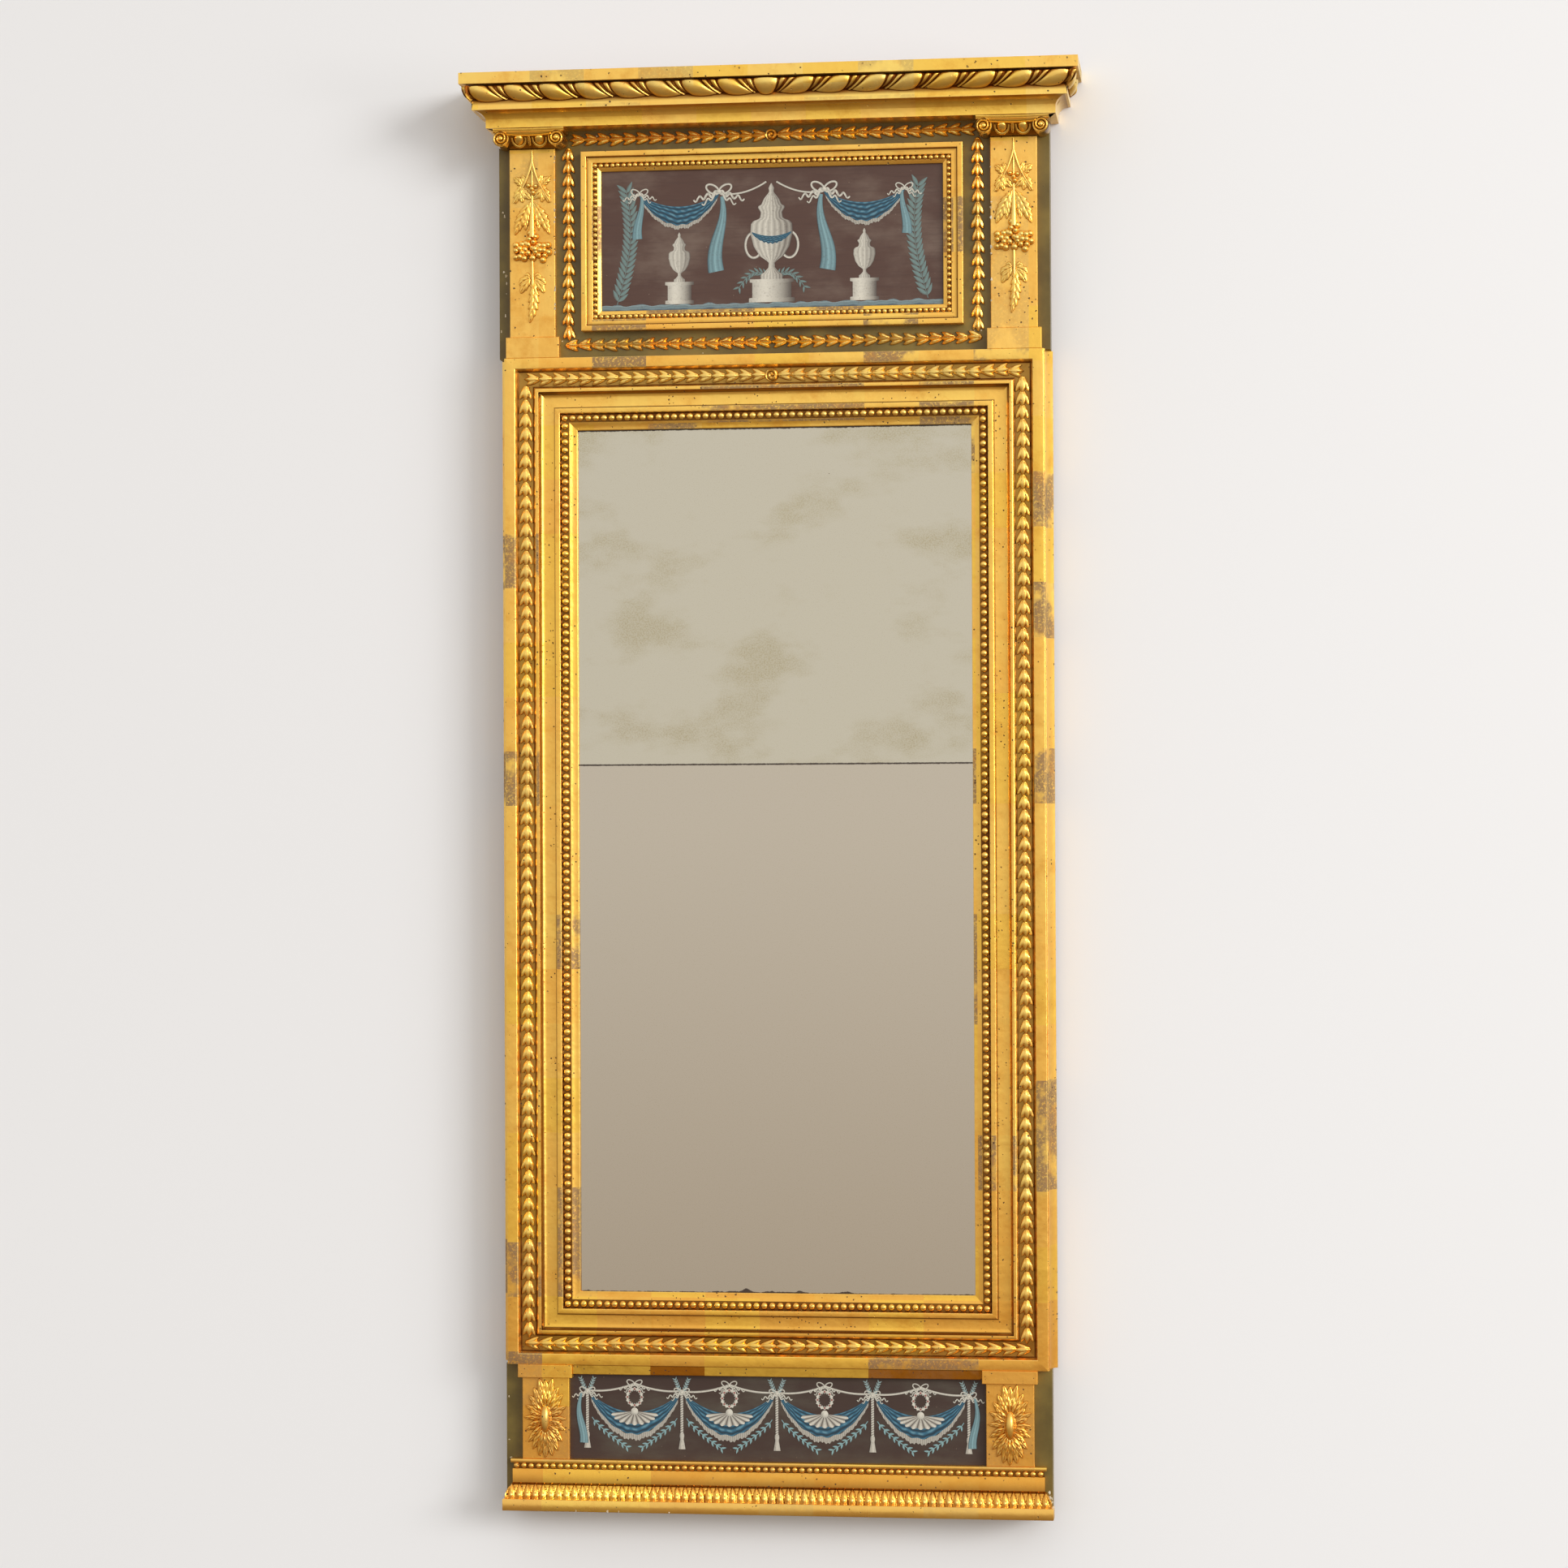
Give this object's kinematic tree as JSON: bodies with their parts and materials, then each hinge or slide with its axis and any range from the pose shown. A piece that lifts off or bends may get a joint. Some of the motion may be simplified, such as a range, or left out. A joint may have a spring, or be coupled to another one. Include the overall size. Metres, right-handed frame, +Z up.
{
  "type": "trumeau wall mirror",
  "caption": "Tall gilded wall mirror: moulded frame with two mirror plates, green panels with pilasters and painted pictures, gadrooned cornice and moulded base.",
  "frame": {"origin": "centre of the hanging eye, on the wall plane", "axes": "+Z up, +X to the viewer's right, the front faces -Y"},
  "size_m": [0.721, 0.097, 1.68],
  "materials": {
    "gilding": "water-gilded gold leaf on gesso, worn",
    "green_paint": "olive green paint, slightly glossy",
    "painted_picture": "painted on a dark brown ground, eggshell",
    "mirror": "old silvering with foxing",
    "pine": "bare planed pine, darkened",
    "iron": "forged, dark"
  },
  "bodies": {
    "root": {"back_batten_left": "pine", "back_batten_right": "pine", "backing_board_lower": "pine", "backing_board_upper": "pine", "base_bead_strip": "gilding", "base_moulding": "gilding", "bead_strip_bottom": "gilding", "bead_strip_left": "gilding", "bead_strip_right": "gilding", "bead_strip_top": "gilding", "capital_left": "gilding", "capital_right": "gilding", "cornice_cap_board": "gilding", "cornice_front": "gilding", "cornice_return_left": "gilding", "cornice_return_right": "gilding", "cross_batten_bottom": "pine", "cross_batten_top": "pine", "frame_rail_bottom": "gilding", "frame_rail_top": "gilding", "frame_stile_left": "gilding", "frame_stile_right": "gilding", "garland_bottom": "gilding", "garland_left": "gilding", "garland_right": "gilding", "garland_top": "gilding", "hanging_plate": "iron", "husk_strip_bottom": "gilding", "husk_strip_left": "gilding", "husk_strip_right": "gilding", "husk_strip_top": "gilding", "impost_left": "gilding", "impost_right": "gilding", "lower_board": "green_paint", "mirror_plate_lower": "mirror", "mirror_plate_upper": "mirror", "painted_panel_lower": "painted_picture", "painted_panel_upper": "painted_picture", "panel_rail": "gilding", "picture_bead_bottom": "gilding", "picture_bead_left": "gilding", "picture_bead_right": "gilding", "picture_bead_top": "gilding", "picture_frame_rail_bottom": "gilding", "picture_frame_rail_top": "gilding", "picture_frame_stile_left": "gilding", "picture_frame_stile_right": "gilding", "pilaster_lower_left": "gilding", "pilaster_lower_right": "gilding", "pilaster_upper_left": "gilding", "pilaster_upper_right": "gilding", "plinth_left": "gilding", "plinth_right": "gilding", "rosette_left": "gilding", "rosette_right": "gilding", "side_cove_left": "gilding", "side_cove_right": "gilding", "upper_board": "green_paint", "vine_drop_left": "gilding", "vine_drop_right": "gilding"}
  },
  "joints": []
}
